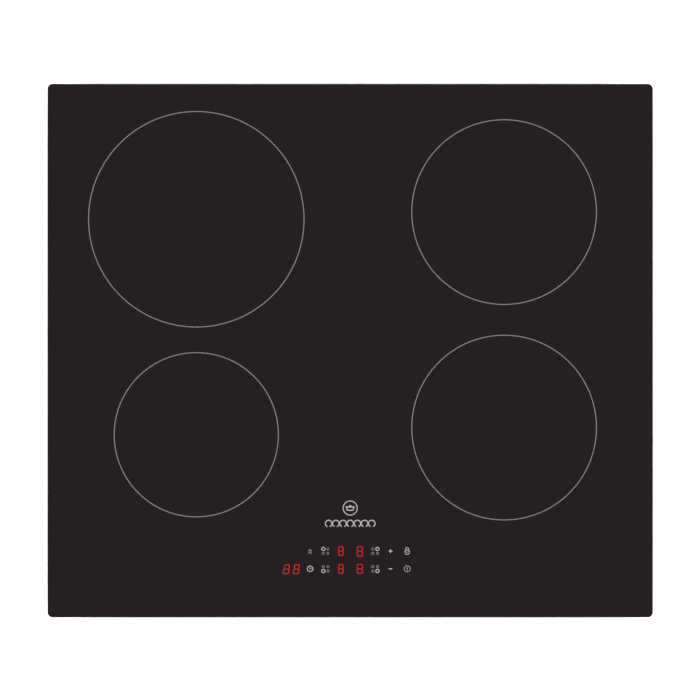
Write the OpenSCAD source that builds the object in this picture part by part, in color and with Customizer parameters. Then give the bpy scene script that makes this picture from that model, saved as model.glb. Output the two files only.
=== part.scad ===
// Built-in induction hob with four cooking zones and a touch control panel.
// Origin: centre of the footprint, at the level the pressed feet stand on.
// +X is to the cook's right, +Y to the rear of the worktop, +Z up.

/* [Glass] */
// Width of the glass plate
glass_w = 590; // [580:5:710]
// Depth of the glass plate
glass_d = 520; // [510:5:630]
// Thickness of the glass plate
glass_t = 4; // [3:0.5:6]
// Corner radius of the glass plate
glass_corner_r = 5; // [3:0.5:12]
// Depth of the printed enamel in the glass
print_t = 0.15; // [0.1:0.05:0.3]
// Width of the printed zone circles
ring_line = 0.8; // [0.6:0.1:2]

/* [Cooking zones] */
// Diameter of the rear left zone
zone_d_rear_left = 210; // [170:5:220]
// Diameter of the rear right zone
zone_d_rear_right = 180; // [145:5:210]
// Diameter of the front left zone
zone_d_front_left = 160; // [130:5:190]
// Diameter of the front right zone
zone_d_front_right = 180; // [145:5:210]
// Distance from a side edge of the glass to the zone centres
zone_side = 145; // [130:5:150]

/* [Housing] */
// Height from the feet to the underside of the glass
case_h = 54; // [50:1:66]
// Width of the glass rim that rests on the worktop
rim_w = 15; // [12:1:20]
// Gap between the housing and the worktop cut-out, each side
cutout_gap = 2; // [1:0.5:4]
// Steel sheet thickness of the frame and the tray
sheet_t = 0.8; // [0.6:0.1:1.2]
// Height of the pressed feet under the tray
foot_h = 1.5; // [1:0.5:3]
// Depth of the frame's skirt around the tray
skirt_h = 17; // [14:1:20]

/* [Fans] */
// Outer radius of a fan wheel
wheel_r = 36; // [30:1:38]
// Number of blades on a fan wheel
blade_count = 24; // [16:1:30]
// Radius of the air inlet under a fan
inlet_r = 27; // [22:1:30]

/* [Mains inlet] */
// Bore of the cable gland
gland_bore_d = 11; // [9:0.5:12]
// Width of the hinged terminal flap
flap_w = 78; // [70:1:90]
// Number of terminals
terminal_count = 5; // [3:1:5]

/* [Hidden] */
$fn = 96;
eps = 0.01;

// ---- stack of levels, from the glass down to the floor of the tray
glass_z = case_h;
glass_top = glass_z + glass_t;
bead_t = 0.8;                    // silicone between frame and glass
frame_top = glass_z - bead_t;
seal_t = 2;                      // foam seal that lies on the worktop
disc_gap = 0.1;                  // glass to insulation disc
disc_t = 0.8;                    // insulation disc
wire_d = 3.6;                    // litz wire of a coil
carrier_t = 5;                   // plastic coil carrier
spring_h = 8.5;                  // gap held by the leaf springs
plate_t = 1.2;                   // aluminium plate under the coils
disc_z = glass_z - disc_gap - disc_t;
winding_z = disc_z - wire_d;
carrier_z = winding_z - carrier_t;
plate_z = carrier_z - spring_h - plate_t;
floor_z = foot_h + sheet_t;      // upper face of the tray's floor
bay_h = plate_z - floor_z;       // height of the electronics bay

// ---- outlines
frame_w = glass_w - 2 * (rim_w + cutout_gap);
frame_d = glass_d - 2 * (rim_w + cutout_gap);
skirt_gap = 0.25;                // frame skirt to tray wall
tray_w = frame_w - 2 * (sheet_t + skirt_gap);
tray_d = frame_d - 2 * (sheet_t + skirt_gap);
tray_in_x = tray_w / 2 - sheet_t;
tray_in_y = tray_d / 2 - sheet_t;
frame_corner_r = 5;
flange_w = 9;                    // frame flange under the glass
seal_inset = 3;                  // seal to glass edge
seal_w = 8;

// ---- cooking zones: name, centre x, centre y, diameter
zone_x = glass_w / 2 - zone_side;
ZONES = [
    ["rear_left", -zone_x, glass_d / 2 - 132, zone_d_rear_left],
    ["rear_right", zone_x, glass_d / 2 - 125, zone_d_rear_right],
    ["front_left", -zone_x, 178 - glass_d / 2, zone_d_front_left],
    ["front_right", zone_x, 185 - glass_d / 2, zone_d_front_right]
];
SIDES = [-1, 1];

// ---- coils
coil_margin = 6;                 // zone radius less outer coil radius
coil_in_r = 24;
carrier_rim = 2.5;
turn_overlap = 0.12;
sensor_r = 7;
peg_r = 3;
peg_hole_gap = 0.4;
spring_w = 10;
spring_t = 0.5;
spring_len = 32;
spring_foot = 4;
spring_turn = 55;                // springs stand this far round from the pegs
support_count = 3;               // pegs, and springs, under each coil
ferrite_w = 12;
ferrite_t = 4.2;
ferrite_gap = 0.2;

// ---- cooling modules: the same board, heatsink and blower on each side
blower_r = wheel_r + 10;
blower_gap = 3;                  // blower to the coil plate
blower_h = bay_h - blower_gap;
blower_y = tray_in_y - blower_r - 18;
blower_wall = 1.5;
duct_w = 36;
duct_len = 62;
shaft_r = 1.5;
shaft_clearance = 0.05;
sink_gap = 3;                    // duct mouth to heatsink
sink_len = 120;
sink_w = duct_w - 2 * blower_wall;
sink_h = bay_h - 8.5;
board_lift = 5;                  // standoff height
board_t = 1.6;
board_z = floor_z + board_lift;
board_top = board_z + board_t;
board_w = 150;
board_front_gap = 103.3;         // front wall of the tray to the power boards
sink_y = blower_y - duct_len - sink_gap - sink_len;
board_y = board_front_gap - tray_in_y;
board_len = sink_y + sink_len - board_y;
sink_x = -blower_r + blower_wall;

// ---- control panel, measured from the front edge of the glass
panel_row = [64.6, 47.4];        // upper and lower row of symbols
panel_y = [for (r = panel_row) r - glass_d / 2];
mark_y = 91.5 - glass_d / 2;
mark_lift = 15.1;                // coil loops to the ring over them
touch_t = 1.6;
pad_h = 5;                       // touch pads between board and glass
touch_w = 158;
touch_d = 52;
touch_x = -3;
touch_y = (panel_y[0] + panel_y[1]) / 2;
touch_z = glass_z - pad_h - touch_t;
key_x = [-39.1, -24, 24.3, 39.3, 55.5];
digit_x = [-9.1, 9.3];
timer_x = [-61.8, -52.1];

// ---- mains inlet
box_wall = 2;
box_w = flap_w + 34;
box_len = 58;
box_top = floor_z + 29.5;
box_rear = tray_d / 2 + 1.2;
box_x0 = -box_w / 2;
flap_x0 = box_x0 + box_wall;
flap_t = 2.4;
flap_side_gap = 0.3;
flap_axis_z = box_top - box_wall - 2.4;
flap_axis_y = box_rear - flap_t / 2;
pin_r = 1.4;
pin_clearance = 0.06;
pin_len = 1.8;
gland_wall = 2;
gland_x = flap_x0 + flap_w + box_wall + (box_w - flap_w - 3 * box_wall) / 2;
gland_z = floor_z + 14;
gland_neck_r = gland_bore_d / 2 + 2.2;
gland_len = 14;

// ---- side clips that hold the hob in the cut-out
clip_y = [-130, 130];
clip_w = 30;
clip_t = 0.6;
clip_axis_z = floor_z + 12;
clip_roll_r = 1.4;
clip_axis_x = tray_w / 2 + clip_roll_r + 0.1;
clip_h = 20;
clip_bulge = 4.3;
clip_roll_gap = 0.05;

// ---- screws
screw_r = 1.6;
screw_head_r = 3.2;
screw_head_h = 1.5;
screw_hole_gap = 0.15;
side_screw_z = frame_top - 9;
bracket_hole_r = 1.75;           // M4 tapping size, for worktop brackets
bracket_inset_x = 30;
bracket_inset_y = 60;

// ======== shared shapes

module round_rect(w, d, r) {
    square([w, d - 2 * r], center = true);
    square([w - 2 * r, d], center = true);
    for (x = SIDES, y = SIDES) translate([x * (w / 2 - r), y * (d / 2 - r)]) circle(r);
}

module ring_rect(w, d, r, band) {
    difference() {
        round_rect(w, d, r);
        round_rect(w - 2 * band, d - 2 * band, max(r - band, 0.5));
    }
}

module annulus(outer_r, line) {
    difference() {
        circle(outer_r);
        circle(outer_r - line);
    }
}

// Closed outline of a strip of even thickness along a centre line
function strip_normal(path, i) =
    let (a = path[max(i - 1, 0)], b = path[min(i + 1, len(path) - 1)], d = b - a)
    [-d[1], d[0]] / norm(d);
function strip(path, t) = concat(
    [for (i = [0:len(path) - 1]) path[i] + strip_normal(path, i) * t / 2],
    [for (i = [len(path) - 1:-1:0]) path[i] - strip_normal(path, i) * t / 2]
);

// A wire: rings of points along a path, closed at both ends
wire_sides = 8;
function unit(v) = v / norm(v);
function wire_ring(path, i, r) =
    let (a = path[max(i - 1, 0)], b = path[min(i + 1, len(path) - 1)], along = unit(b - a),
         guess = abs(along[1]) < 0.9 ? [0, 1, 0] : [1, 0, 0],
         side = unit(cross(along, guess)), up = cross(side, along))
    [for (k = [0:wire_sides - 1])
        path[i] + r * (side * cos(360 * k / wire_sides) + up * sin(360 * k / wire_sides))];
module wire(path, r) {
    n = len(path);
    points = [for (i = [0:n - 1]) each wire_ring(path, i, r)];
    walls = [for (i = [0:n - 2], k = [0:wire_sides - 1])
        let (a = i * wire_sides, m = (k + 1) % wire_sides)
        each [[a + k, a + wire_sides + m, a + m], [a + k, a + wire_sides + k, a + wire_sides + m]]];
    first = [for (k = [0:wire_sides - 1]) k];
    last = [for (k = [wire_sides - 1:-1:0]) (n - 1) * wire_sides + k];
    polyhedron(points, concat(walls, [first, last]));
}

// Smooth curve through four control points, as wires bend
function bezier(p, t) =
    pow(1 - t, 3) * p[0] + 3 * pow(1 - t, 2) * t * p[1] + 3 * (1 - t) * t * t * p[2] + pow(t, 3) * p[3];
// Leaves point a along va and reaches point b against vb, straight at both ends
function bent(a, va, b, vb, steps) = concat(
    [a], [for (i = [0:steps]) bezier([a + va * 0.1, a + va, b + vb, b + vb * 0.1], i / steps)], [b]);

module pan_screw(length) {
    cylinder(r = screw_r, h = length);
    difference() {
        translate([0, 0, length]) cylinder(r = screw_head_r, h = screw_head_h);
        for (turn = [0, 90]) rotate(turn)
            translate([-1.8, -0.35, length + screw_head_h - 0.8]) cube([3.6, 0.7, 1]);
    }
}

// Points a child from +Z to the outward normal of a side wall (1 right, -1 left)
module on_side(side, y, z, x) {
    translate([side * x, y, z]) rotate([0, side * 90, 0]) children();
}

// ======== glass and its print

module zone_circles() {
    for (z = ZONES) translate([z[1], z[2]]) annulus(z[3] / 2 + ring_line / 2, ring_line);
}

// Four small circles; the one that the key controls is larger
module zone_symbol(col, row) {
    pitch = [4.5, 4.3];
    for (i = [0, 1], j = [0, 1])
        translate([(i - 0.5) * pitch[0], (0.5 - j) * pitch[1]])
            if (i == col && j == row) annulus(2, 0.95);
            else annulus(1.35, 0.6);
}

// Two chevrons, one above the other, for the boost level
module boost_symbol() {
    for (lift = [-1.5, 0.9])
        translate([0, lift]) polygon(strip([[-1.6, -1], [0, 0.9], [1.6, -1]], 0.9));
}

module clock_symbol() {
    annulus(3.1, 0.9);
    translate([-0.35, -0.35]) square([0.7, 1.9]);
    translate([-0.35, -0.35]) square([1.5, 0.7]);
}

module plus_symbol() {
    square([4, 1.05], center = true);
    square([1.05, 4], center = true);
}

module lock_symbol() {
    translate([0, -0.9]) annulus(2.65, 0.9);
    translate([0, -0.9]) square([0.7, 1.5], center = true);
    difference() {
        translate([0, 1.9]) annulus(2.05, 0.8);
        translate([0, -0.9]) circle(2.65 - eps);
    }
}

module power_symbol() {
    annulus(3.25, 0.7);
    square([0.75, 3.2], center = true);
}

// Coil of wire with a pan in a ring over it, the general sign for induction cooking
module coil_mark() {
    loops = 7;
    loop_pitch = 7;
    loop_r = 3.7;
    line = 1;
    pan_w = 7.4;
    pan_h = 3.8;
    handle = 1.6;
    for (i = [0:loops - 1]) translate([(i - (loops - 1) / 2) * loop_pitch, 0]) difference() {
        annulus(loop_r, line);
        translate([-1.4, -loop_r - 1]) square([2.8, 3]);
    }
    translate([0, mark_lift]) {
        annulus(7.3, 1);
        translate([-pan_w / 2, -pan_h / 2]) square([pan_w, line]);
        for (side = SIDES) translate([side * pan_w / 2, -pan_h / 2]) mirror([side < 0 ? 1 : 0, 0]) {
            translate([-line, 0]) square([line, pan_h]);
            translate([-eps, pan_h - line]) square([handle, line]);
        }
    }
}

module control_symbols() {
    translate([0, mark_y]) coil_mark();
    translate([key_x[0], panel_y[0]]) boost_symbol();
    translate([key_x[0], panel_y[1]]) clock_symbol();
    for (row = [0, 1]) {
        translate([key_x[1], panel_y[row]]) zone_symbol(0, row);
        translate([key_x[2], panel_y[row]]) zone_symbol(1, row);
    }
    translate([key_x[3], panel_y[0]]) plus_symbol();
    translate([key_x[3], panel_y[1]]) square([4, 1.2], center = true);
    translate([key_x[4], panel_y[0]]) lock_symbol();
    translate([key_x[4], panel_y[1]]) power_symbol();
}

module glass_plate() {
    color([0.14, 0.13, 0.135])
    difference() {
        translate([0, 0, glass_z]) linear_extrude(glass_t) round_rect(glass_w, glass_d, glass_corner_r);
        translate([0, 0, glass_top - print_t]) linear_extrude(1) zone_circles();
        translate([0, 0, glass_top - print_t]) linear_extrude(1) control_symbols();
    }
}

module zone_rings() {
    color([0.6, 0.6, 0.6])
    translate([0, 0, glass_top - print_t]) linear_extrude(print_t) zone_circles();
}

module control_print() {
    color([0.75, 0.75, 0.75])
    translate([0, 0, glass_top - print_t]) linear_extrude(print_t) control_symbols();
}

// ======== housing

module worktop_seal() {
    color([0.1, 0.1, 0.1])
    translate([0, 0, glass_z - seal_t]) linear_extrude(seal_t)
        ring_rect(glass_w - 2 * seal_inset, glass_d - 2 * seal_inset, glass_corner_r, seal_w);
}

module silicone_bead() {
    color([0.2, 0.2, 0.2])
    translate([0, 0, frame_top]) linear_extrude(bead_t)
        ring_rect(frame_w - 1, frame_d - 1, frame_corner_r, flange_w - 2);
}

module side_screw_places() {
    for (side = SIDES, y = [-1, 0, 1])
        on_side(side, y * (frame_d / 2 - 40), side_screw_z, frame_w / 2 - 4) children();
    for (side = SIDES, x = SIDES)
        translate([x * (frame_w / 2 - 60), side * (frame_d / 2 - 4), side_screw_z])
            rotate([-side * 90, 0, 0]) children();
}

module glass_frame() {
    color([0.72, 0.74, 0.76])
    difference() {
        union() {
            translate([0, 0, frame_top - sheet_t]) linear_extrude(sheet_t)
                ring_rect(frame_w, frame_d, frame_corner_r, flange_w);
            translate([0, 0, frame_top - skirt_h]) linear_extrude(skirt_h)
                ring_rect(frame_w, frame_d, frame_corner_r, sheet_t);
        }
        side_screw_places() cylinder(r = screw_r + screw_hole_gap, h = 8);
    }
}

module slot_row(count, pitch, w, h) {
    for (i = [0:count - 1]) translate([(i - (count - 1) / 2) * pitch, 0]) square([w, h], center = true);
}

// Parallel slots that fill a circle
module round_grille(r, pitch, w) {
    n = floor(r / pitch);
    for (i = [-n:n])
        let (half = sqrt(r * r - i * i * pitch * pitch))
        if (half > w) translate([i * pitch, 0]) square([w, 2 * half], center = true);
}

module foot_places() {
    for (x = SIDES, y = SIDES)
        translate([x * (tray_w / 2 - 45), y * (tray_d / 2 - 35)]) children();
}

module bracket_places() {
    for (x = SIDES, y = SIDES)
        translate([x * (tray_w / 2 - bracket_inset_x), y * (tray_d / 2 - bracket_inset_y)]) children();
}

module tray_vents() {
    vent_z = floor_z + 12;
    for (side = SIDES) {
        // outlet slots in the front wall, inlets in the rear wall
        translate([side * zone_x, -tray_d / 2, vent_z]) rotate([90, 0, 0])
            linear_extrude(6, center = true) slot_row(22, 7, 3, 17);
        translate([side * (zone_x + 20), tray_d / 2, vent_z]) rotate([90, 0, 0])
            linear_extrude(6, center = true) slot_row(14, 9, 3.5, 17);
        // slots in the side walls, between the clips
        translate([side * tray_w / 2, 0, vent_z]) rotate([90, 0, 90])
            linear_extrude(6, center = true) slot_row(16, 10, 3.5, 15);
        // outlet slots near the front of the floor
        translate([side * zone_x, -tray_d / 2 + 22, 0])
            linear_extrude(floor_z + 1) slot_row(15, 9, 4, 22);
        // fan inlets
        translate([side * zone_x, blower_y, 0]) linear_extrude(floor_z + 1) round_grille(inlet_r - 2, 7, 4);
    }
}

module base_tray() {
    wall_h = frame_top - sheet_t - 0.6 - foot_h;
    color([0.66, 0.68, 0.7])
    difference() {
        union() {
            difference() {
                translate([0, 0, foot_h]) linear_extrude(wall_h)
                    round_rect(tray_w, tray_d, frame_corner_r - sheet_t);
                translate([0, 0, floor_z]) linear_extrude(wall_h)
                    round_rect(tray_w - 2 * sheet_t, tray_d - 2 * sheet_t, frame_corner_r - 2 * sheet_t);
            }
            foot_places() cylinder(r = 13, h = foot_h);
            bracket_places() translate([0, 0, foot_h]) cylinder(r = 4, h = 4);
        }
        foot_places() translate([0, 0, sheet_t]) cylinder(r = 13 - sheet_t, h = floor_z);
        bracket_places() cylinder(r = bracket_hole_r, h = 20);
        tray_vents();
        translate([box_x0, tray_d / 2 - sheet_t - 1, floor_z])
            cube([box_w, sheet_t + 2, box_top - floor_z + eps]);
        side_screw_places() cylinder(r = screw_r, h = 8);
        clip_screw_places() cylinder(r = screw_r, h = 8);
    }
}

module side_screws() {
    color([0.8, 0.8, 0.78]) {
        side_screw_places() pan_screw(4);
        clip_screw_places() pan_screw(4);
    }
}

// ======== side clips

module clip_screw_places() {
    for (side = SIDES, y = clip_y, end = SIDES)
        on_side(side, y + end * 9, floor_z + 5.5, tray_w / 2 + clip_t - 4) children();
}

module clip_tabs() {
    tab_top = clip_axis_z - clip_roll_r - clip_roll_gap;
    color([0.5, 0.52, 0.54])
    difference() {
        for (side = SIDES, y = clip_y)
            translate([side > 0 ? tray_w / 2 : -tray_w / 2 - clip_t, y - clip_w / 2, floor_z])
                cube([clip_t, clip_w, tab_top - floor_z]);
        clip_screw_places() cylinder(r = screw_r + screw_hole_gap, h = 8);
    }
}

// Leaf in the X-Z plane, from its roll up and outward, then back in at the tip
module clip_leaf(side, y) {
    half_w = clip_w / 2;
    path = [[0.6, 0.9], [1.6, 4], [clip_bulge - 0.3, clip_h - 8], [clip_bulge, clip_h - 6],
            [clip_bulge - 0.3, clip_h - 4], [clip_bulge - 1, clip_h]];
    color([0.55, 0.57, 0.6])
    translate([side * clip_axis_x, y, clip_axis_z]) mirror([side < 0 ? 1 : 0, 0, 0]) {
        rotate([90, 0, 0]) linear_extrude(clip_w, center = true) polygon(strip(path, clip_t));
        rotate([90, 0, 0]) cylinder(r = clip_roll_r, h = clip_w, center = true);
    }
}

// ======== mains inlet

module terminal_box() {
    hinge_bore = pin_r + pin_clearance;
    depth = box_rear - (tray_d / 2 - box_len);
    front = box_rear - depth;
    color([0.16, 0.16, 0.17])
    difference() {
        translate([box_x0, front, floor_z]) cube([box_w, depth, box_top - floor_z]);
        // wiring space behind the flap
        translate([flap_x0, front + box_wall, floor_z + box_wall])
            cube([flap_w, depth, box_top - floor_z - 2 * box_wall]);
        // space behind the gland, closed to the rear
        translate([flap_x0 + flap_w + box_wall, front + box_wall, floor_z + box_wall])
            cube([box_w - flap_w - 3 * box_wall, depth - box_wall - gland_wall,
                  box_top - floor_z - 2 * box_wall]);
        // way for the cable between the two
        translate([flap_x0 + flap_w - eps, front + 14, floor_z + 5])
            cube([box_wall + 2 * eps, 26, 17]);
        // way for the wires to the filter board
        translate([block_x - block_w / 2, front - 1, floor_z + 6]) cube([block_w, box_wall + 2, 12]);
        translate([gland_x, box_rear - gland_wall - 1, gland_z]) rotate([-90, 0, 0])
            cylinder(r = gland_neck_r, h = gland_wall + 2);
        for (x = [flap_x0 - box_wall - 1, flap_x0 + flap_w - 1])
            translate([x, flap_axis_y, flap_axis_z]) rotate([0, 90, 0])
                cylinder(r = hinge_bore, h = box_wall + 2);
    }
}

module terminal_flap() {
    bottom = floor_z + box_wall + 0.4;
    lip_h = 2;
    color([0.2, 0.2, 0.21]) {
        translate([flap_x0 + flap_side_gap, flap_axis_y, flap_axis_z]) rotate([0, 90, 0])
            cylinder(r = flap_t / 2 + 0.4, h = flap_w - 2 * flap_side_gap);
        translate([flap_x0 + flap_side_gap, box_rear - flap_t, bottom])
            cube([flap_w - 2 * flap_side_gap, flap_t, flap_axis_z - bottom]);
        // finger lip along the lower edge
        translate([flap_x0 + flap_w / 2 - 12, box_rear - eps, bottom])
            cube([24, 1.6, lip_h]);
        translate([flap_x0 + flap_side_gap - pin_len, flap_axis_y, flap_axis_z]) rotate([0, 90, 0])
            cylinder(r = pin_r, h = flap_w - 2 * flap_side_gap + 2 * pin_len);
    }
}

terminal_pitch = 12;
block_w = terminal_count * terminal_pitch + 4;
block_d = 20;
block_h = 14;
block_x = flap_x0 + flap_w / 2;
block_y = box_rear - 38;
block_z = floor_z + box_wall;
function terminal_places() =
    [for (i = [0:terminal_count - 1]) block_x + (i - (terminal_count - 1) / 2) * terminal_pitch];

module terminal_block() {
    color([0.9, 0.9, 0.86])
    difference() {
        translate([block_x - block_w / 2, block_y - block_d / 2, block_z]) cube([block_w, block_d, block_h]);
        for (x = terminal_places()) {
            translate([x, block_y - block_d / 2 - 1, block_z + 5]) rotate([-90, 0, 0])
                cylinder(r = 2.6, h = block_d + 2);
            translate([x, block_y, block_z + 5]) cylinder(r = 3, h = block_h);
        }
    }
}

module terminal_screws() {
    color([0.8, 0.68, 0.35])
    for (x = terminal_places()) translate([x, block_y, block_z + 7.8]) difference() {
        cylinder(r = 2.9, h = 4);
        translate([-3.5, -0.4, 3]) cube([7, 0.8, 2]);
    }
}

module cable_gland() {
    color([0.12, 0.12, 0.12])
    difference() {
        translate([gland_x, box_rear, gland_z]) rotate([-90, 0, 0]) {
            cylinder(r = gland_neck_r + 1.6, h = 2.6);
            translate([0, 0, -gland_wall]) cylinder(r = gland_neck_r, h = gland_wall);
            translate([0, 0, 2.6 - gland_len])
                cylinder(r = gland_neck_r + 0.8, h = gland_len - 2.6 - gland_wall);
        }
        translate([gland_x, box_rear + 2.6 - gland_len - 1, gland_z]) rotate([-90, 0, 0])
            cylinder(r = gland_bore_d / 2, h = gland_len + 2);
    }
}

// ======== coil plates

plate_w = 236;
plate_rear = tray_in_y - 8;
plate_front = -tray_in_y + 62;
plate_len = plate_rear - plate_front;

// Angles round a coil: ferrites at whole steps, pegs and leads half way between
function ferrite_count(z) = z[3] > 170 ? 8 : 6;
function ferrite_step(z) = 360 / ferrite_count(z);
function peg_angle(z, i) = (floor(i * ferrite_count(z) / support_count) + 0.5) * ferrite_step(z);
function lead_index(z) = z[2] > 0 ? floor(0.75 * ferrite_count(z)) : 1;
function support_orbit(z) = (z[3] / 2 - coil_margin) * 0.62;
module peg_places(z) {
    for (i = [0:support_count - 1]) translate([z[1], z[2]])
        rotate(peg_angle(z, i)) translate([support_orbit(z), 0]) children();
}
module spring_places(z) {
    for (i = [0:support_count - 1]) translate([z[1], z[2]])
        rotate(peg_angle(z, i) + spring_turn) translate([support_orbit(z), 0]) children();
}

// The two ends of a winding: under its first and under its last turn
turn_pitch = wire_d - turn_overlap;
function turn_count(z) = floor((z[3] / 2 - coil_margin - coil_in_r) / turn_pitch);
function lead_orbits(z) = [coil_in_r + wire_d / 2, coil_in_r + wire_d / 2 + (turn_count(z) - 1) * turn_pitch];
function lead_xy(z, orbit) =
    let (a = (lead_index(z) + 0.5) * ferrite_step(z))
    [z[1] + orbit * cos(a), z[2] + orbit * sin(a)];

pillar_x = [-85, plate_w / 2 - 9];  // inner row stands clear of the terminal box
module pillar_places() {
    for (side = SIDES, x = pillar_x, y = [-1, 0, 1])
        translate([side * (zone_x + x), (plate_rear + plate_front) / 2 + y * (plate_len / 2 - 9)])
            children();
}

lead_r = 1.7;
lead_hole_r = lead_r + 0.8;

module coil_plate(side) {
    color([0.85, 0.86, 0.88])
    difference() {
        translate([side * zone_x - plate_w / 2, plate_front, plate_z]) {
            cube([plate_w, plate_len, plate_t]);
            translate([0, 0, plate_t]) cube([1.2, plate_len, 4]);
            translate([plate_w - 1.2, 0, plate_t]) cube([1.2, plate_len, 4]);
        }
        translate([0, 0, plate_z - 1]) {
            for (z = ZONES) {
                peg_places(z) cylinder(r = peg_r + peg_hole_gap, h = plate_t + 2);
                for (orbit = lead_orbits(z)) translate(lead_xy(z, orbit)) cylinder(r = lead_hole_r, h = plate_t + 2);
            }
            pillar_places() cylinder(r = screw_r + screw_hole_gap, h = plate_t + 2);
        }
    }
}

module plate_pillars() {
    color([0.93, 0.93, 0.9])
    pillar_places() translate([0, 0, floor_z]) difference() {
        union() {
            cylinder(r = 4, h = bay_h);
            cylinder(r = 6, h = 2);
        }
        translate([0, 0, bay_h - 8]) cylinder(r = screw_r, h = 9);
    }
}

module plate_screws() {
    color([0.8, 0.8, 0.78])
    pillar_places() translate([0, 0, plate_z + plate_t - 6]) pan_screw(6);
}

// ======== coils

module coil_carrier(z) {
    out_r = z[3] / 2 - coil_margin + carrier_rim;
    color([0.88, 0.86, 0.8])
    difference() {
        union() {
            translate([z[1], z[2], carrier_z]) cylinder(r = out_r, h = carrier_t);
            translate([z[1], z[2], winding_z]) linear_extrude(2) annulus(out_r, 1.2);
            translate([z[1], z[2], winding_z]) linear_extrude(2.6) annulus(coil_in_r - 0.8, 1.5);
            translate([0, 0, plate_z - 2]) peg_places(z) cylinder(r = peg_r, h = carrier_z - plate_z + 2 + eps);
        }
        translate([z[1], z[2], carrier_z - 1]) cylinder(r = sensor_r + 0.3, h = carrier_t + 2);
        ferrite_places(z) translate([-ferrite_gap, -ferrite_w / 2 - ferrite_gap, carrier_z - 1])
            cube([ferrite_len(z) + 2 * ferrite_gap, ferrite_w + 2 * ferrite_gap, ferrite_t + 1 + 0.01]);
        // windows between the ferrites save plastic and let air through
        for (i = [0:ferrite_count(z) - 1]) if (i != lead_index(z)) translate([z[1], z[2], carrier_z - 1])
            rotate((i + 0.5) * ferrite_step(z)) translate([out_r * 0.8, 0])
                cylinder(r = out_r * 0.1, h = carrier_t + 2);
        for (orbit = lead_orbits(z)) translate([0, 0, carrier_z - 1]) translate(lead_xy(z, orbit))
            cylinder(r = lead_hole_r, h = carrier_t + 2);
    }
}

function ferrite_len(z) = z[3] / 2 - coil_margin - coil_in_r - 6;
module ferrite_places(z) {
    for (i = [0:ferrite_count(z) - 1]) translate([z[1], z[2]])
        rotate(i * ferrite_step(z)) translate([coil_in_r + 3, 0]) children();
}

module coil_winding(z) {
    color([0.72, 0.42, 0.24])
    translate([z[1], z[2], winding_z + wire_d / 2]) rotate_extrude()
        for (i = [0:turn_count(z) - 1])
            translate([coil_in_r + wire_d / 2 + i * turn_pitch, 0]) circle(wire_d / 2, $fn = 24);
}

module ferrite_bars() {
    color([0.2, 0.2, 0.21])
    for (z = ZONES) ferrite_places(z)
        translate([0, -ferrite_w / 2, carrier_z + 0.01]) cube([ferrite_len(z), ferrite_w, ferrite_t]);
}

module insulation_discs() {
    color([0.92, 0.9, 0.84])
    for (z = ZONES) translate([z[1], z[2], disc_z]) linear_extrude(disc_t)
        annulus(z[3] / 2 - coil_margin + carrier_rim, z[3] / 2 - coil_margin + carrier_rim - sensor_r - 1);
}

module temperature_sensors() {
    top = glass_z - disc_gap;
    color([0.95, 0.95, 0.95])
    for (z = ZONES) translate([z[1], z[2], 0]) {
        translate([0, 0, carrier_z - 1.5]) cylinder(r = sensor_r + 2.2, h = 1.5);
        translate([0, 0, carrier_z - 1.5]) cylinder(r = sensor_r, h = top - carrier_z - 1.5);
        translate([0, 0, top - 3 - eps]) cylinder(r = 3.5, h = 3);
    }
}

// Arched leaf springs with flat feet, between plate and carrier
module coil_springs() {
    steps = 12;
    arch = spring_len - 2 * spring_foot;
    path = concat(
        [[-spring_len / 2, spring_t / 2]],
        [for (i = [0:steps])
            [(i / steps - 0.5) * arch, spring_t / 2 + (spring_h - spring_t) * (1 - cos(360 * i / steps)) / 2]],
        [[spring_len / 2, spring_t / 2]]);
    color([0.6, 0.62, 0.64])
    for (z = ZONES) spring_places(z) translate([0, 0, plate_z + plate_t])
        rotate([90, 0, 90]) linear_extrude(spring_w, center = true) polygon(strip(path, spring_t));
}

// ======== power electronics

module module_place(side) {
    translate([side * zone_x, 0, 0]) children();
}

module standoff_places() {
    for (x = SIDES, y = [10, board_len / 2, board_len - 10])
        translate([x * (board_w / 2 - 8), board_y + y]) children();
}

module power_board() {
    color([0.1, 0.35, 0.2])
    difference() {
        translate([-board_w / 2, board_y, board_z]) cube([board_w, board_len, board_t]);
        standoff_places() translate([0, 0, board_z - 1]) cylinder(r = 2.1, h = board_t + 2);
    }
}

filter_w = 90;
filter_len = 110;
filter_rear = tray_d / 2 - box_len - 10;
module filter_standoff_places() {
    for (x = SIDES, y = [8, filter_len - 8])
        translate([x * (filter_w / 2 - 8), filter_rear - y]) children();
}

module filter_board() {
    color([0.1, 0.35, 0.2])
    difference() {
        translate([-filter_w / 2, filter_rear - filter_len, board_z]) cube([filter_w, filter_len, board_t]);
        filter_standoff_places() translate([0, 0, board_z - 1]) cylinder(r = 2.1, h = board_t + 2);
    }
}

module board_standoffs() {
    module standoff() {
        translate([0, 0, floor_z]) cylinder(r = 4, h = board_lift);
        translate([0, 0, floor_z]) cylinder(r = 2, h = board_lift + board_t + 1.5);
    }
    color([0.93, 0.93, 0.9]) {
        for (side = SIDES) module_place(side) standoff_places() standoff();
        filter_standoff_places() standoff();
    }
}

module heatsink() {
    fins = 7;
    fin_t = 1.4;
    fin_pitch = (sink_w - fin_t) / (fins - 1);
    color([0.8, 0.81, 0.83])
    translate([sink_x, sink_y, board_top]) {
        cube([sink_w, sink_len, 4]);
        for (i = [0:fins - 1]) translate([i * fin_pitch, 0, 4 - eps])
            cube([fin_t, sink_len, sink_h - board_lift - board_t - 4]);
    }
}

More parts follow.
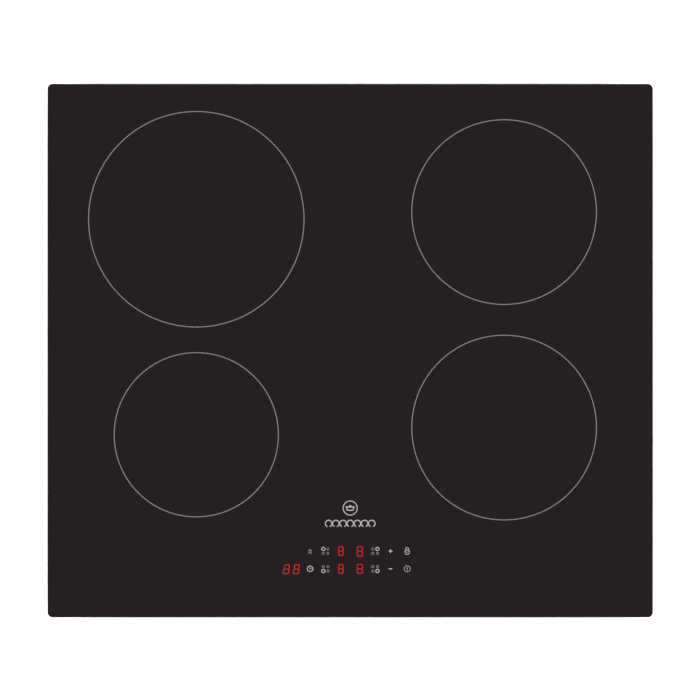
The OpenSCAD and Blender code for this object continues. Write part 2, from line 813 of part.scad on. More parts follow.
// Transistors stand beside the heatsink, flat against its outer fin
module power_transistors() {
    body = [5, 16, 13];
    color([0.12, 0.12, 0.12])
    for (side = SIDES, i = [0:4]) module_place(side)
        translate([sink_x + sink_w, sink_y + 8 + i * 22, board_top]) {
            translate([0, 0, 4.5]) cube([body[0], body[1], body[2]]);
            for (leg = [2.6, 8, 13.4]) translate([1.2, leg - 0.6, 0]) cube([0.8, 1.2, 4.5 + eps]);
        }
}

module resonance_capacitors() {
    color([0.75, 0.72, 0.6])
    for (side = SIDES, i = [0:3]) module_place(side)
        translate([43, sink_y + 6 + i * 27, board_top]) cube([30, 19, 18]);
}

module line_chokes() {
    color([0.75, 0.45, 0.2])
    for (side = SIDES) module_place(side)
        translate([20, board_y + 45, board_top]) linear_extrude(15) annulus(19, 10);
}

module filter_choke() {
    color([0.75, 0.45, 0.2])
    translate([-14, filter_rear - 74, board_top]) linear_extrude(17) annulus(18, 9);
}

module filter_capacitors() {
    color([0.85, 0.8, 0.25]) {
        translate([14, filter_rear - 48, board_top]) cube([26, 15, 17]);
        translate([14, filter_rear - 76, board_top]) cube([26, 15, 17]);
        translate([-40, filter_rear - 36, board_top]) cube([22, 11, 14]);
    }
}

// ======== blowers

module scroll_outline(r) {
    duct_in = blower_r - r;
    circle(r);
    translate([-r, -duct_len]) square([duct_w - 2 * duct_in, duct_len]);
}

module blower_housing(side) {
    inner_r = blower_r - blower_wall;
    color([0.18, 0.18, 0.19])
    translate([side * zone_x, blower_y, floor_z]) difference() {
        linear_extrude(blower_h) scroll_outline(blower_r);
        translate([0, 0, blower_wall]) linear_extrude(blower_h - 2 * blower_wall) {
            circle(inner_r);
            translate([-inner_r, -duct_len - 1]) square([duct_w - 2 * blower_wall, duct_len + 1]);
        }
        translate([0, 0, -1]) cylinder(r = inlet_r, h = blower_wall + 2);
    }
}

motor_base_t = 2;
bearing_len = 11;
bearing_r = 3.5;
hub_in_r = 13.5;
hub_out_r = 15;
hub_top = blower_h - blower_wall - 3.5;
hub_bottom = hub_top - 14;

module fan_motor(side) {
    top = blower_h - blower_wall;
    color([0.3, 0.3, 0.32])
    translate([side * zone_x, blower_y, floor_z]) difference() {
        union() {
            translate([0, 0, top - motor_base_t]) cylinder(r = 14, h = motor_base_t);
            translate([0, 0, top - motor_base_t - bearing_len]) cylinder(r = bearing_r, h = bearing_len + eps);
            translate([0, 0, top - motor_base_t - 8]) difference() {
                cylinder(r = 12, h = 6);
                for (i = [0:5]) rotate(i * 60) translate([6, -0.8, -1]) cube([8, 1.6, 8]);
            }
        }
        translate([0, 0, top - motor_base_t - bearing_len - 1])
            cylinder(r = shaft_r + shaft_clearance, h = bearing_len + 1.5);
    }
}

module fan_shaft(side) {
    color([0.8, 0.8, 0.82])
    translate([side * zone_x, blower_y, floor_z + hub_bottom])
        cylinder(r = shaft_r, h = blower_h - blower_wall - motor_base_t - 0.5 - hub_bottom);
}

module fan_wheel(side) {
    blade_in_r = wheel_r - 9;
    blade_t = 1;
    color([0.22, 0.22, 0.23])
    translate([side * zone_x, blower_y, floor_z]) difference() {
        union() {
            // hub cup, closed towards the inlet
            translate([0, 0, hub_bottom]) difference() {
                cylinder(r = hub_out_r, h = hub_top - hub_bottom);
                translate([0, 0, 1.5]) cylinder(r = hub_in_r, h = hub_top - hub_bottom);
            }
            translate([0, 0, hub_bottom]) cylinder(r = shaft_r + 1.5, h = 2.2);
            // back plate, blades and end ring
            translate([0, 0, hub_top - 1.5]) linear_extrude(1.5) annulus(wheel_r, wheel_r - hub_in_r - 0.5);
            for (i = [0:blade_count - 1]) rotate(i * 360 / blade_count)
                translate([blade_in_r, 0, 4]) rotate(-32) cube([8, blade_t, hub_top - 4 - eps]);
            translate([0, 0, 3.5]) linear_extrude(1.5) annulus(wheel_r, 4);
        }
        translate([0, 0, hub_bottom - 1]) cylinder(r = shaft_r, h = 5);
    }
}

// ======== controls

module touch_board() {
    color([0.1, 0.35, 0.2])
    translate([touch_x - touch_w / 2, touch_y - touch_d / 2, touch_z]) cube([touch_w, touch_d, touch_t]);
}

module touch_pads() {
    color([0.15, 0.15, 0.15])
    for (x = key_x, y = panel_y) translate([x, y, touch_z + touch_t]) cylinder(r = 4, h = pad_h);
}

module digit_displays() {
    display_h = 4.6;
    color([0.85, 0.1, 0.1]) {
        for (x = digit_x, y = panel_y) translate([x - 5, y - 7, touch_z + touch_t]) cube([10, 14, display_h]);
        translate([timer_x[0] - 5.5, panel_y[1] - 7.5, touch_z + touch_t])
            cube([timer_x[1] - timer_x[0] + 11, 14, display_h]);
    }
}

module control_bracket() {
    plate = 2;
    leg_inset = 8;
    color([0.2, 0.2, 0.21]) {
        translate([touch_x, touch_y, touch_z - plate]) linear_extrude(plate) difference() {
            square([touch_w + 8, touch_d + 8], center = true);
            square([touch_w - 30, touch_d - 20], center = true);
        }
        for (x = SIDES, y = SIDES)
            translate([touch_x + x * (touch_w / 2 - leg_inset), touch_y + y * (touch_d / 2 - leg_inset), floor_z])
                cylinder(r = 4, h = touch_z - plate - floor_z + eps);
    }
}

// ======== wiring

// Two leads from each winding, down through carrier and plate to the power board
module coil_leads() {
    color([0.85, 0.3, 0.2])
    for (z = ZONES, orbit = lead_orbits(z)) {
        at = lead_xy(z, orbit);
        y = min(at[1], board_y + board_len - 8);
        bend = (plate_z - board_top) * 0.45;
        wire(concat([[at[0], at[1], winding_z]],
                    bent([at[0], at[1], plate_z - 1], [0, 0, -bend], [at[0], y, board_top], [0, 0, bend], 8)),
             lead_r);
    }
}

// From the terminal block to the filter board, one wire to a terminal
module mains_wires() {
    wire_r = 2;
    color([0.3, 0.45, 0.7])
    for (x = terminal_places())
        wire(bent([x, block_y - block_d / 2 + 3, block_z + 5], [0, -26, 0],
                  [x * 0.5, filter_rear - 14, board_top], [0, 0, 20], 8), wire_r);
}

// Round cables from the control board to the two power boards
module control_cables() {
    cable_r = 2.2;
    color([0.75, 0.75, 0.75])
    for (side = SIDES)
        wire(bent([side * 38, touch_y + 10, touch_z], [0, 0, -35],
                  [side * (zone_x - board_w / 2 + 12), board_y + 14, board_top], [0, 0, 17], 10), cable_r);
}

// ======== assembly

glass_plate();
zone_rings();
control_print();
worktop_seal();
silicone_bead();
glass_frame();
base_tray();
side_screws();
clip_tabs();
clip_leaf(-1, clip_y[0]);  // clip_left_front
clip_leaf(-1, clip_y[1]);  // clip_left_rear
clip_leaf(1, clip_y[0]);  // clip_right_front
clip_leaf(1, clip_y[1]);  // clip_right_rear
terminal_box();
terminal_flap();
terminal_block();
terminal_screws();
cable_gland();
coil_plate(-1);  // coil_plate_left
coil_plate(1);  // coil_plate_right
plate_pillars();
plate_screws();
module_place(-1) power_board();  // power_board_left
module_place(1) power_board();  // power_board_right
module_place(-1) heatsink();  // heatsink_left
module_place(1) heatsink();  // heatsink_right
power_transistors();
resonance_capacitors();
line_chokes();
filter_board();
filter_choke();
filter_capacitors();
board_standoffs();
blower_housing(-1);  // blower_housing_left
blower_housing(1);  // blower_housing_right
fan_wheel(-1);  // fan_wheel_left
fan_wheel(1);  // fan_wheel_right
fan_motor(-1);  // fan_motor_left
fan_motor(1);  // fan_motor_right
fan_shaft(-1);  // fan_shaft_left
fan_shaft(1);  // fan_shaft_right
for (z = ZONES) {
    coil_carrier(z);
    coil_winding(z);
}
ferrite_bars();
insulation_discs();
temperature_sensors();
coil_springs();
touch_board();
touch_pads();
digit_displays();
control_bracket();
coil_leads();
mains_wires();
control_cables();
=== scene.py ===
import math

import bmesh
import bpy
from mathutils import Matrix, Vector


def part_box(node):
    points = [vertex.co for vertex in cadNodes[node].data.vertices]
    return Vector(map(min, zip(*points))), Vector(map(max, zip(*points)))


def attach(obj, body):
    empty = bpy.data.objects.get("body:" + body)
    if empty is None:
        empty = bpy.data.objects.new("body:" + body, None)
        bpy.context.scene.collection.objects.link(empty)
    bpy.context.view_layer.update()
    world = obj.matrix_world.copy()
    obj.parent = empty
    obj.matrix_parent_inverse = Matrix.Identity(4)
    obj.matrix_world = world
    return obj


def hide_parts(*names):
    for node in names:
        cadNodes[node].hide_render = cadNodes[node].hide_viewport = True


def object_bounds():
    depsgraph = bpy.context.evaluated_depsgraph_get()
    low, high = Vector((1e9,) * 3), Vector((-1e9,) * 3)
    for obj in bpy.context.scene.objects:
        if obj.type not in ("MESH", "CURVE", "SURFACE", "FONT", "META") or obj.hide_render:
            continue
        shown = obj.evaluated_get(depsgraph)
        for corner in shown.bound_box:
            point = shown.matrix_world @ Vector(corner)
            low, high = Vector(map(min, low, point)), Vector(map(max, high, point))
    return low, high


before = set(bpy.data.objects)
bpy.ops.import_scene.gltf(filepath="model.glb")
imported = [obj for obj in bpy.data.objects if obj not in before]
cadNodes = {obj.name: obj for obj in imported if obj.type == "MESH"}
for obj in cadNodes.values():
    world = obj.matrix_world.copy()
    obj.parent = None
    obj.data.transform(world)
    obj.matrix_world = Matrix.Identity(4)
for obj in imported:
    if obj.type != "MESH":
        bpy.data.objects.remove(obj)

cadLow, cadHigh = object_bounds()
scene = bpy.context.scene
mm = 0.001
print("frame loaded:", len(cadNodes), "nodes")


# small helpers

# sockets of a Mix node: its factor, the two colours and where the colour comes out, then the same for vectors
mixFactor, colourA, colourB, colourOut = 0, 6, 7, 2
vectorA, vectorB, vectorOut = 4, 5, 1
flatCorners = 20         # a face with more corners than this is a large flat one


def linearColour(hexCode):
    # sRGB hex to the linear values that the shaders mix
    parts = [int(hexCode[i:i + 2], 16) / 255 for i in (1, 3, 5)]
    return [p / 12.92 if p <= 0.04045 else ((p + 0.055) / 1.055) ** 2.4 for p in parts] + [1]


def addNode(tree, kind, settings=None, links=None):
    # settings are properties of the node or values of its sockets, links go from an output into a socket
    node = tree.nodes.new(kind)
    for name, value in (settings or {}).items():
        if isinstance(name, str) and hasattr(node, name):
            setattr(node, name, value)
        else:
            node.inputs[name].default_value = value
    for name, source in (links or {}).items():
        tree.links.new(source, node.inputs[name])
    return node


def startMaterial(name, settings):
    material = bpy.data.materials.new(name)
    material.use_nodes = True
    tree = material.node_tree
    shader = tree.nodes["Principled BSDF"]
    for socket, value in settings.items():
        shader.inputs[socket].default_value = value
    place = addNode(tree, "ShaderNodeTexCoord").outputs["Object"]
    return material, tree, shader, place


def perMetre(sizeMm):
    # texture scale that makes one unit of the pattern sizeMm long
    return 1000 / sizeMm


def newPiece(name, bm, material, body="housing", replaced=(), smoothBelow=35):
    # edges that bend by less than smoothBelow degrees are shaded round
    mesh = bpy.data.meshes.new(name)
    bmesh.ops.recalc_face_normals(bm, faces=bm.faces)
    bm.to_mesh(mesh)
    bm.free()
    for m in material if isinstance(material, list) else [material]:
        mesh.materials.append(m)
    mesh.shade_smooth()
    mesh.set_sharp_from_angle(angle=math.radians(smoothBelow))
    for face in mesh.polygons:
        if len(face.vertices) > flatCorners:      # flat to the rim, so that reflections are even
            face.use_smooth = False
    piece = bpy.data.objects.new(name, mesh)
    scene.collection.objects.link(piece)
    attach(piece, body)
    if replaced:
        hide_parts(*replaced)
    return piece


# shapes in mesh code

def roundedOutline(width, depth, radius, steps=10):
    # points of a rectangle with round corners, counter-clockwise
    points = []
    for cornerX, cornerY, start in ((1, 1, 0), (-1, 1, 90), (-1, -1, 180), (1, -1, 270)):
        for i in range(steps + 1):
            turn = math.radians(start + 90 * i / steps)
            points.append((cornerX * (width / 2 - radius) + radius * math.cos(turn),
                           cornerY * (depth / 2 - radius) + radius * math.sin(turn)))
    return points


def arcPoints(centreX, centreY, radius, fromDeg, toDeg, steps):
    return [(centreX + radius * math.cos(math.radians(fromDeg + (toDeg - fromDeg) * i / steps)),
             centreY + radius * math.sin(math.radians(fromDeg + (toDeg - fromDeg) * i / steps)))
            for i in range(steps + 1)]


def circlePoints(centreX, centreY, radius, sides):
    return arcPoints(centreX, centreY, radius, 0, 360, sides)[:-1]


def bridge(bm, lower, upper, slot=0):
    # quads between two loops of as many vertices
    for i in range(len(lower)):
        j = (i + 1) % len(lower)
        face = bm.faces.new((lower[i], lower[j], upper[j], upper[i]))
        face.material_index = slot


def closeSolid(bm, first, last):
    # walls between two loops and a lid on each
    bridge(bm, first, last)
    bm.faces.new(last)
    bm.faces.new(list(reversed(first)))


def addPrism(bm, outline, low, high):
    # a flat outline of (x, y) points drawn up
    closeSolid(bm, *[[bm.verts.new((x, y, z)) for x, y in outline] for z in (low, high)])


def addExtrusion(bm, profile, fromX, toX):
    # a profile of (y, z) points drawn out along x
    closeSolid(bm, *[[bm.verts.new((x, y, z)) for y, z in profile] for x in (fromX, toX)])


def addStroke(bm, line, width, low, high, closed=False):
    # a band of even width along a line, open or closed
    count = len(line)
    points = [Vector(p) for p in line]
    sides = ([], [])
    for i, p in enumerate(points):
        before = points[i - 1] if closed or i else p
        after = points[(i + 1) % count] if closed or i < count - 1 else p
        along = (after - before).normalized()
        across = Vector((-along.y, along.x)) * width / 2
        sides[0].append(p + across)
        sides[1].append(p - across)
    loops = [[bm.verts.new((p.x, p.y, z)) for p in side] for side in sides for z in (low, high)]
    leftLow, leftHigh, rightLow, rightHigh = loops
    for i in range(count if closed else count - 1):
        j = (i + 1) % count
        bm.faces.new((rightHigh[i], rightHigh[j], leftHigh[j], leftHigh[i]))
        bm.faces.new((leftLow[i], leftLow[j], rightLow[j], rightLow[i]))
        bm.faces.new((leftHigh[i], leftHigh[j], leftLow[j], leftLow[i]))
        bm.faces.new((rightLow[i], rightLow[j], rightHigh[j], rightHigh[i]))
    if not closed:
        for i in (0, -1):
            bm.faces.new((leftLow[i], rightLow[i], rightHigh[i], leftHigh[i]))


def addRing(bm, centreX, centreY, outerRadius, line, low, high, sides=64):
    # a closed circle; line lies inside the outer radius
    middle = circlePoints(centreX, centreY, outerRadius - line / 2, sides)
    addStroke(bm, middle, line, low, high, closed=True)


def addBar(bm, centreX, centreY, width, depth, low, high):
    # a short bar, its corners rounded by a share of its narrow side
    cornerShare = 0.22
    outline = roundedOutline(width, depth, min(width, depth) * cornerShare, 3)
    addPrism(bm, [(centreX + x, centreY + y) for x, y in outline], low, high)


# camera, floor and light

# straight above the middle of the glass, with a long lens
viewing = {"lensMm": 300, "sensorMm": 36, "reach": 200, "heightOverGlass": 5.6846,
           "aimX": -0.0002, "aimY": 0.0006}
cameraData = bpy.data.cameras.new("camera")
cameraData.lens = viewing["lensMm"]
cameraData.sensor_width = viewing["sensorMm"]
cameraData.clip_end = viewing["reach"]
camera = bpy.data.objects.new("camera", cameraData)
camera.location = (viewing["aimX"], viewing["aimY"], cadHigh.z + viewing["heightOverGlass"])
scene.collection.objects.link(camera)
scene.camera = camera
scene.view_settings.view_transform = "Standard"

# white studio floor, painted and rolled: even and matt
floorHalfWidth = 60
floorPaint, tree, shader, place = startMaterial("rolledWhitePaint", {
    "Roughness": 0.9, "Specular IOR Level": 0.1})
grain = addNode(tree, "ShaderNodeTexNoise", {"Scale": perMetre(400), "Detail": 2}, {"Vector": place})
tone = addNode(tree, "ShaderNodeMix", {
    "data_type": "RGBA", colourA: linearColour("#ededed"), colourB: linearColour("#f2f2f2")},
    {mixFactor: grain.outputs[0]})
tree.links.new(tone.outputs[colourOut], shader.inputs["Base Color"])
bm = bmesh.new()
bmesh.ops.create_grid(bm, x_segments=1, y_segments=1, size=floorHalfWidth)
floorMesh = bpy.data.meshes.new("floor")
bm.to_mesh(floorMesh)
bm.free()
floorMesh.materials.append(floorPaint)
studioFloor = bpy.data.objects.new("studioFloor", floorMesh)
scene.collection.objects.link(studioFloor)

# light tent: a bright band round the room, dark straight above so that the glass stays black
tent = {
    "strength": 3.8,
    # sine of the height above the horizon, then the share of the strength
    "bands": [(0.0, 0.33), (0.012, 0.33), (0.032, 0.07), (0.25, 0.07), (0.42, 0.09), (0.56, 0.92),
              (0.86, 0.92), (0.965, 0.105), (0.985, 0.073)],
}
world = bpy.data.worlds.new("lightTent")
scene.world = world
world.use_nodes = True
tree = world.node_tree
background = tree.nodes["Background"]
direction = addNode(tree, "ShaderNodeTexCoord").outputs["Generated"]
height = addNode(tree, "ShaderNodeSeparateXYZ", {}, {0: direction})
ramp = addNode(tree, "ShaderNodeValToRGB", {}, {0: height.outputs["Z"]})
ramp.color_ramp.interpolation = "EASE"
while len(ramp.color_ramp.elements) > 1:
    ramp.color_ramp.elements.remove(ramp.color_ramp.elements[0])
for i, (position, share) in enumerate(tent["bands"]):
    element = ramp.color_ramp.elements[0] if i == 0 else ramp.color_ramp.elements.new(position)
    element.position = position
    element.color = (share, share, share, 1)
background.inputs["Strength"].default_value = tent["strength"]
tree.links.new(ramp.outputs[0], background.inputs["Color"])
print("camera, floor and light made")


# materials of the parts that show

# glass-ceramic, rolled and polished: deep black with a trace of warm brown, mirror-smooth
glassCeramic, tree, shader, place = startMaterial("rolledGlassCeramic", {"IOR": 1.52})
wave = addNode(tree, "ShaderNodeTexNoise", {"Scale": perMetre(60), "Detail": 2}, {"Vector": place})
gloss = addNode(tree, "ShaderNodeMapRange", {"To Min": 0.03, "To Max": 0.06}, {"Value": wave.outputs[0]})
tree.links.new(gloss.outputs[0], shader.inputs["Roughness"])
tone = addNode(tree, "ShaderNodeMix", {
    "data_type": "RGBA", colourA: linearColour("#0a0306"), colourB: linearColour("#0c0508")},
    {mixFactor: wave.outputs[0]})
tree.links.new(tone.outputs[colourOut], shader.inputs["Base Color"])

# the same glass where its edge is ground: a thin matt line, darker than the face
groundGlass, tree, shader, place = startMaterial("groundGlassEdge", {
    "Base Color": linearColour("#070606"), "Roughness": 0.55, "IOR": 1.52, "Specular IOR Level": 0.06})
grit = addNode(tree, "ShaderNodeTexNoise", {"Scale": perMetre(0.8), "Detail": 3}, {"Vector": place})
pitted = addNode(tree, "ShaderNodeBump", {"Strength": 0.3, "Distance": 0.05 * mm},
                 {"Height": grit.outputs[0]})
tree.links.new(pitted.outputs[0], shader.inputs["Normal"])


def firedEnamel(name, lightHex, darkHex):
    # enamel screen-printed and fired: flat grey with a faint speckle from the screen
    material, tree, shader, place = startMaterial(name, {
        "Roughness": 0.5, "IOR": 1.5, "Specular IOR Level": 0.3})
    speck = addNode(tree, "ShaderNodeTexNoise", {"Scale": perMetre(1.2), "Detail": 2}, {"Vector": place})
    tone = addNode(tree, "ShaderNodeMix", {
        "data_type": "RGBA", colourA: linearColour(darkHex), colourB: linearColour(lightHex)},
        {mixFactor: speck.outputs[0]})
    tree.links.new(tone.outputs[colourOut], shader.inputs["Base Color"])
    return material


zoneEnamel = firedEnamel("firedGreyEnamel", "#5e5c5d", "#565455")
markEnamel = firedEnamel("firedLightEnamel", "#817f80", "#797778")
signEnamel = firedEnamel("firedMiddleEnamel", "#858384", "#7d7b7c")
faintEnamel = firedEnamel("firedDimEnamel", "#605e5f", "#585657")


def lightInGlass(name, bodyHex, specular, lightHex, darkHex):
    # light that comes up through the glass: red, a little uneven, with hardly any gloss of its own
    material, tree, shader, place = startMaterial(name, {
        "Base Color": linearColour(bodyHex), "Roughness": 0.3, "Specular IOR Level": specular,
        "Emission Strength": 1.0})
    flicker = addNode(tree, "ShaderNodeTexNoise", {"Scale": perMetre(2.5), "Detail": 1}, {"Vector": place})
    tone = addNode(tree, "ShaderNodeMix", {
        "data_type": "RGBA", colourA: linearColour(darkHex), colourB: linearColour(lightHex)},
        {mixFactor: flicker.outputs[0]})
    tree.links.new(tone.outputs[colourOut], shader.inputs["Emission Color"])
    return material


# the lit segments, and the soft edge of their light in the body of the glass
litSegment = lightInGlass("ledLightInGlass", "#0a0202", 0.15, "#d6211f", "#cc1d1c")
glowInGlass = lightInGlass("ledGlowInGlass", "#100303", 0.3, "#3e0606", "#360505")

# EPDM foam, cut from sheet: dull black with open pores, their pits painted darker as painted shade
cutFoam, tree, shader, place = startMaterial("cutEpdmFoam", {"Roughness": 0.95, "Specular IOR Level": 0.2})
poresAndShade = addNode(tree, "ShaderNodeTexVoronoi", {"Scale": perMetre(1.1)}, {"Vector": place})
# painted shade: the colour darkens towards the middle of each pore, where the bump sinks it
tone = addNode(tree, "ShaderNodeMix", {
    "data_type": "RGBA", colourA: linearColour("#0d0d0d"), colourB: linearColour("#232323")},
    {mixFactor: poresAndShade.outputs["Distance"]})
tree.links.new(tone.outputs[colourOut], shader.inputs["Base Color"])
dimples = addNode(tree, "ShaderNodeBump", {"Strength": 0.7, "Distance": 0.3 * mm},
                  {"Height": poresAndShade.outputs["Distance"]})
tree.links.new(dimples.outputs[0], shader.inputs["Normal"])

# silicone, cured from the gun: soft satin black
curedSilicone, tree, shader, place = startMaterial("curedSilicone", {
    "Base Color": linearColour("#1a1a1b"), "Roughness": 0.35})
lumps = addNode(tree, "ShaderNodeTexNoise", {"Scale": perMetre(6), "Detail": 2}, {"Vector": place})
soft = addNode(tree, "ShaderNodeBump", {"Strength": 0.3, "Distance": 0.3 * mm}, {"Height": lumps.outputs[0]})
tree.links.new(soft.outputs[0], shader.inputs["Normal"])

# steel, powder coated: even black with a fine orange peel
powderCoat, tree, shader, place = startMaterial("powderCoatedSteel", {"Base Color": linearColour("#0e0f10")})
peel = addNode(tree, "ShaderNodeTexNoise", {"Scale": perMetre(1.4), "Detail": 2}, {"Vector": place})
peelBump = addNode(tree, "ShaderNodeBump", {"Strength": 0.25, "Distance": 0.12 * mm},
                   {"Height": peel.outputs[0]})
tree.links.new(peelBump.outputs[0], shader.inputs["Normal"])
sheen = addNode(tree, "ShaderNodeMapRange", {"To Min": 0.36, "To Max": 0.48}, {"Value": peel.outputs[0]})
tree.links.new(sheen.outputs[0], shader.inputs["Roughness"])

# steel, hot-dip galvanised: grey zinc in flakes of differing brightness and gloss
galvanised = {"flakeMm": 8, "edgeWarp": 0.006, "light": "#999da0", "dark": "#83878a"}
zincSheet, tree, shader, place = startMaterial("galvanisedSteel", {"Metallic": 1.0})
warp = addNode(tree, "ShaderNodeTexNoise", {"Scale": perMetre(galvanised["flakeMm"]), "Detail": 2},
               {"Vector": place})
bent = addNode(tree, "ShaderNodeMix", {"data_type": "VECTOR", mixFactor: galvanised["edgeWarp"]},
               {vectorA: place, vectorB: warp.outputs["Color"]})
flakes = addNode(tree, "ShaderNodeTexVoronoi", {"Scale": perMetre(galvanised["flakeMm"])},
                 {"Vector": bent.outputs[vectorOut]})
flakeTone = addNode(tree, "ShaderNodeSeparateColor", {}, {0: flakes.outputs["Color"]})
tone = addNode(tree, "ShaderNodeMix", {
    "data_type": "RGBA", colourA: linearColour(galvanised["dark"]),
    colourB: linearColour(galvanised["light"])}, {mixFactor: flakeTone.outputs["Red"]})
tree.links.new(tone.outputs[colourOut], shader.inputs["Base Color"])
dull = addNode(tree, "ShaderNodeMapRange", {"To Min": 0.38, "To Max": 0.56},
               {"Value": flakeTone.outputs["Green"]})
tree.links.new(dull.outputs[0], shader.inputs["Roughness"])
ripple = addNode(tree, "ShaderNodeBump", {"Strength": 0.15, "Distance": 0.1 * mm},
                 {"Height": flakeTone.outputs["Blue"]})
tree.links.new(ripple.outputs[0], shader.inputs["Normal"])

# steel screws, zinc plated and passivated: pale metal with a faint warm cast
platedScrew, tree, shader, place = startMaterial("zincPlatedSteel", {"Metallic": 1.0, "Roughness": 0.3})
cloud = addNode(tree, "ShaderNodeTexNoise", {"Scale": perMetre(3), "Detail": 2}, {"Vector": place})
tone = addNode(tree, "ShaderNodeMix", {
    "data_type": "RGBA", colourA: linearColour("#a5a298"), colourB: linearColour("#bcbab2")},
    {mixFactor: cloud.outputs[0]})
tree.links.new(tone.outputs[colourOut], shader.inputs["Base Color"])


def lineMetal(name, lightHex, darkHex, lowRough, highRough, lineMm):
    # a metal with the fine lines of rolling, drawing or turning; lineMm is their size along x, y and z
    material, tree, shader, place = startMaterial(name, {"Metallic": 1.0})
    stretch = addNode(tree, "ShaderNodeMapping", {"Scale": [perMetre(size) for size in lineMm]},
                      {"Vector": place})
    lines = addNode(tree, "ShaderNodeTexNoise", {"Scale": 1.0, "Detail": 3}, {"Vector": stretch.outputs[0]})
    tone = addNode(tree, "ShaderNodeMix", {
        "data_type": "RGBA", colourA: linearColour(darkHex), colourB: linearColour(lightHex)},
        {mixFactor: lines.outputs[0]})
    tree.links.new(tone.outputs[colourOut], shader.inputs["Base Color"])
    rough = addNode(tree, "ShaderNodeMapRange", {"To Min": lowRough, "To Max": highRough},
                    {"Value": lines.outputs[0]})
    tree.links.new(rough.outputs[0], shader.inputs["Roughness"])
    return material


def plainMoulding(name, lightHex, darkHex, roughness, grainMm, bumpStrength=0.2, bumpMm=0.06):
    # a moulded, drawn or pressed part: one colour, slightly uneven, with a shallow grain
    material, tree, shader, place = startMaterial(name, {"Roughness": roughness})
    grain = addNode(tree, "ShaderNodeTexNoise", {"Scale": perMetre(grainMm), "Detail": 3}, {"Vector": place})
    tone = addNode(tree, "ShaderNodeMix", {
        "data_type": "RGBA", colourA: linearColour(darkHex), colourB: linearColour(lightHex)},
        {mixFactor: grain.outputs[0]})
    tree.links.new(tone.outputs[colourOut], shader.inputs["Base Color"])
    bump = addNode(tree, "ShaderNodeBump", {"Strength": bumpStrength, "Distance": bumpMm * mm},
                   {"Height": grain.outputs[0]})
    tree.links.new(bump.outputs[0], shader.inputs["Normal"])
    return material


# spring steel strip, cold rolled: cool grey with fine lines along the strip
springStrip = lineMetal("coldRolledSpringSteel", "#8b8e92", "#6a6c70", 0.22, 0.4, (30, 0.7, 30))
# polyamide, moulded in an eroded tool: matt black with a fine even grain
mouldedBlack = plainMoulding("mouldedBlackPolyamide", "#171719", "#0f0f11", 0.55, 0.9, 0.3, 0.08)
print("materials of the outer parts made")


# materials of the parts inside

# plastics, ceramic and rubber: clean flat colours, glossier where they are glazed or cast
mouldedWhite = plainMoulding("mouldedNaturalPolyamide", "#dedbd0", "#cfccc0", 0.5, 1.5)
mouldedEpoxy = plainMoulding("mouldedBlackEpoxy", "#202022", "#161617", 0.6, 0.8)
greyCase = plainMoulding("mouldedGreyPolypropylene", "#94968f", "#858780", 0.45, 1.5)
yellowCase = plainMoulding("mouldedYellowPolypropylene", "#d7bd35", "#c7ad29", 0.4, 1.5)
firedCeramic = plainMoulding("glazedAluminaCeramic", "#eceae4", "#dcdad3", 0.25, 2.0)
redLens = plainMoulding("castRedAcrylic", "#5c1411", "#4a0f0d", 0.15, 4.0)
redSleeve = plainMoulding("extrudedRedSilicone", "#b8402f", "#a43526", 0.5, 2.0)
blueSleeve = plainMoulding("extrudedBluePvc", "#4a66a0", "#3d5890", 0.4, 2.0)
greySleeve = plainMoulding("extrudedGreyPvc", "#a9aaab", "#989999", 0.4, 2.0)
# ferrite, pressed and sintered: charcoal grey, dry, with dark specks
sinteredFerrite = plainMoulding("sinteredFerrite", "#38383b", "#232325", 0.78, 0.7)
# bare metals: bright, with the lines of how each was made
rolledAluminium = lineMetal("rolledAluminium", "#cfd1d3", "#bcbec1", 0.25, 0.4, (40, 0.8, 40))
drawnAluminium = lineMetal("extrudedAluminium", "#c4c6c8", "#adafb2", 0.3, 0.5, (0.8, 60, 0.8))
turnedBrass = lineMetal("turnedBrass", "#d8b568", "#c2a056", 0.18, 0.35, (1, 1, 0.3))
groundSteel = lineMetal("groundSteel", "#c5c6c9", "#aeb0b3", 0.1, 0.25, (2, 2, 0.3))

# copper litz, twisted from lacquered strands: warm orange-brown with slanted strands, painted darker in the
# grooves between them as painted shade
# a slanted wave repeats about every third of its unit, so the strands are drawn 1.5 mm wide;
# real ones are finer and wouldn't show
litzCopper, tree, shader, place = startMaterial("twistedLitzCopper", {"Metallic": 1.0})
strandsAndShade = addNode(tree, "ShaderNodeTexWave", {
    "wave_type": "BANDS", "bands_direction": "DIAGONAL", "Scale": perMetre(4), "Distortion": 1.5},
    {"Vector": place})
# painted shade: the colour darkens where the bump sinks between the strands
tone = addNode(tree, "ShaderNodeMix", {
    "data_type": "RGBA", colourA: linearColour("#8a4a26"), colourB: linearColour("#c98450")},
    {mixFactor: strandsAndShade.outputs[0]})
tree.links.new(tone.outputs[colourOut], shader.inputs["Base Color"])
twist = addNode(tree, "ShaderNodeBump", {"Strength": 0.6, "Distance": 0.2 * mm},
                {"Height": strandsAndShade.outputs[0]})
tree.links.new(twist.outputs[0], shader.inputs["Normal"])
lacquer = addNode(tree, "ShaderNodeMapRange", {"To Min": 0.45, "To Max": 0.28},
                  {"Value": strandsAndShade.outputs[0]})
tree.links.new(lacquer.outputs[0], shader.inputs["Roughness"])

# mica paper, pressed: cream mottled with pale flakes
pressedMica, tree, shader, place = startMaterial("pressedMica", {})
flake = addNode(tree, "ShaderNodeTexVoronoi", {"Scale": perMetre(5)}, {"Vector": place})
flakeTone = addNode(tree, "ShaderNodeSeparateColor", {}, {0: flake.outputs["Color"]})
tone = addNode(tree, "ShaderNodeMix", {
    "data_type": "RGBA", colourA: linearColour("#bdb397"), colourB: linearColour("#d6cfb9")},
    {mixFactor: flakeTone.outputs["Red"]})
tree.links.new(tone.outputs[colourOut], shader.inputs["Base Color"])
glint = addNode(tree, "ShaderNodeMapRange", {"To Min": 0.25, "To Max": 0.55},
                {"Value": flakeTone.outputs["Green"]})
tree.links.new(glint.outputs[0], shader.inputs["Roughness"])

